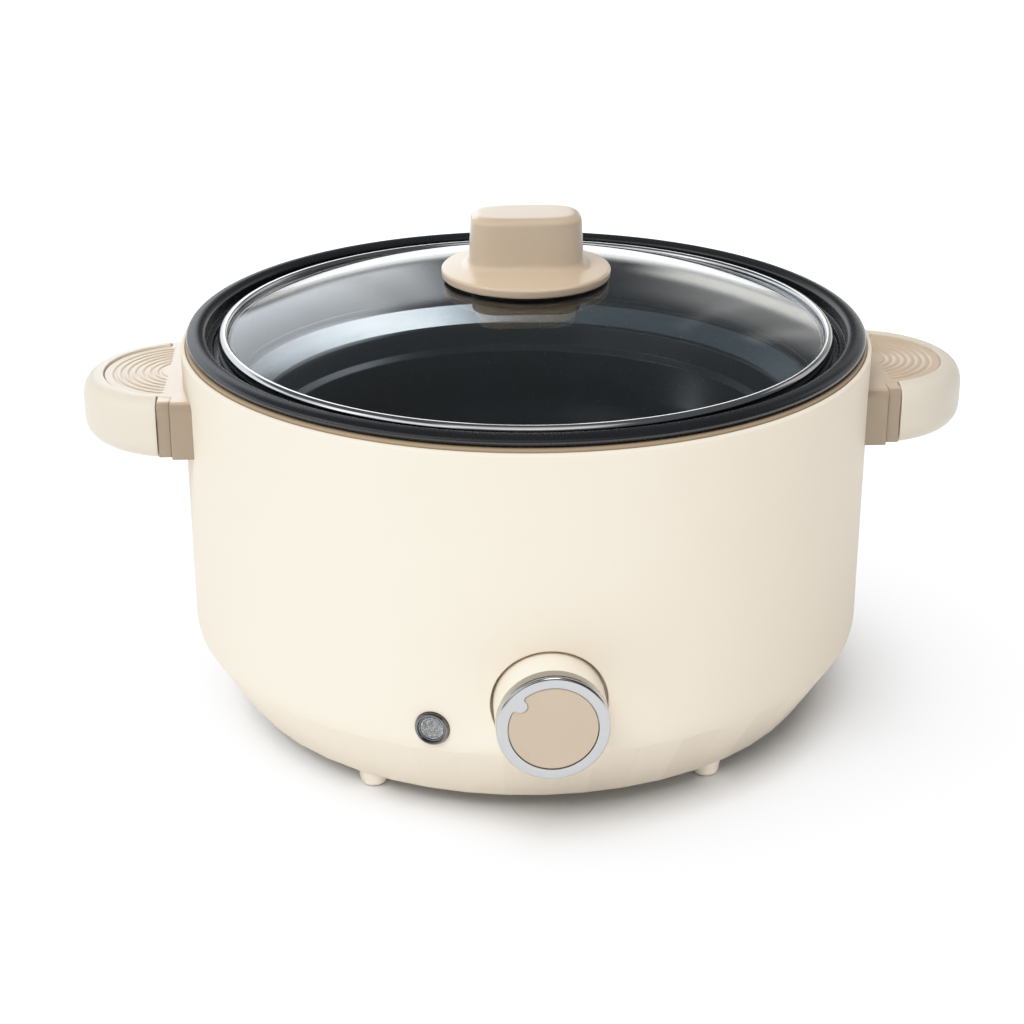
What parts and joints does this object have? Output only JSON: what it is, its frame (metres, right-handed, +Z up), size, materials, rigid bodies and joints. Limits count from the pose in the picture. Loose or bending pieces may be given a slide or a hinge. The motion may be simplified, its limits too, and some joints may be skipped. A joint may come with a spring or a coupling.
{
  "type": "electric hot pot",
  "caption": "Round electric hot pot with a faceted lower band, side handles, front control knob and lamp, non-stick inner pan, rear power inlet and a lift-off domed glass lid.",
  "frame": {"origin": "on the pot's axis, in the plane that the feet stand on", "axes": "+Z up along the pot's axis, -Y towards the control knob, the two handles along X"},
  "size_m": [0.355, 0.2988, 0.201],
  "materials": {
    "shell_cream": "satin",
    "seal_taupe": "matte",
    "pan_coating": "satin non-stick coating",
    "base_grey": "matte",
    "foot_cream": "satin",
    "screw_steel": "zinc plated",
    "cast_aluminium": "as cast",
    "element_steel": "annealed",
    "terminal_brass": "plain",
    "shield_aluminium": "mill",
    "strap_steel": "mill",
    "spacer_ceramic": "matte",
    "cutout_ceramic": "matte",
    "switch_body": "matte",
    "shaft_steel": "turned",
    "knob_cream": "satin",
    "knob_chrome": "polished",
    "knob_taupe": "satin",
    "bezel_dark": "satin",
    "lens_clear": "textured",
    "lamp_glass": "clear",
    "inlet_black": "matte",
    "wire_brown": "matte",
    "wire_blue": "matte",
    "wire_green": "matte",
    "wire_white": "matte",
    "fuse_metal": "plain",
    "lid_glass": "clear tempered",
    "lid_steel": "polished steel",
    "lid_knob_beige": "satin",
    "seal_black": "matte",
    "block_taupe": "satin",
    "handle_taupe": "satin",
    "handle_cream": "satin"
  },
  "bodies": {
    "pot": {"outer_shell": "shell_cream", "rim_seal_ring": "seal_taupe", "inner_pan": "pan_coating", "base_cover": "base_grey", "feet": "foot_cream", "base_screws": "screw_steel", "heater_plate": "cast_aluminium", "heating_element": "element_steel", "heater_terminals": "terminal_brass", "heat_shield": "shield_aluminium", "clamp_strap": "strap_steel", "strap_screws": "screw_steel", "pan_studs": "screw_steel", "stud_spacers": "spacer_ceramic", "stud_nuts": "screw_steel", "thermal_cutout": "cutout_ceramic", "control_switch": "switch_body", "switch_nut": "screw_steel", "indicator_bezel": "bezel_dark", "indicator_lens": "lens_clear", "indicator_lamp": "lamp_glass", "indicator_clip": "strap_steel", "inlet_housing": "inlet_black", "inlet_pins": "terminal_brass", "inlet_screws": "screw_steel", "wire_live": "wire_brown", "wire_switched": "wire_brown", "wire_heater": "wire_brown", "thermal_fuse": "fuse_metal", "wire_neutral": "wire_blue", "wire_earth": "wire_green", "lamp_leads": "wire_white", "left_handle_core": "handle_taupe", "left_handle_cover": "handle_cream", "left_handle_backplate": "strap_steel", "left_handle_screws": "screw_steel", "right_handle_core": "handle_taupe", "right_handle_cover": "handle_cream", "right_handle_backplate": "strap_steel", "right_handle_screws": "screw_steel"},
    "lid": {"lid_glass": "lid_glass", "lid_band": "lid_steel", "lid_knob": "lid_knob_beige", "lid_knob_seal": "seal_black", "lid_knob_block": "block_taupe", "lid_knob_screw": "screw_steel"},
    "knob": {"knob_skirt": "knob_cream", "knob_ring": "knob_chrome", "knob_face": "knob_taupe", "control_shaft": "shaft_steel"}
  },
  "joints": [
    {"name": "lid_lift", "type": "slide", "parent": "pot", "child": "lid", "axis": [0, 0, 1], "range_m": [0, 0.15]},
    {"name": "knob_turn", "type": "hinge", "parent": "pot", "child": "knob", "pos_m": [0, -0.1436, 0.0552], "axis": [0, 1, 0], "range_deg": [0, 270]}
  ]
}
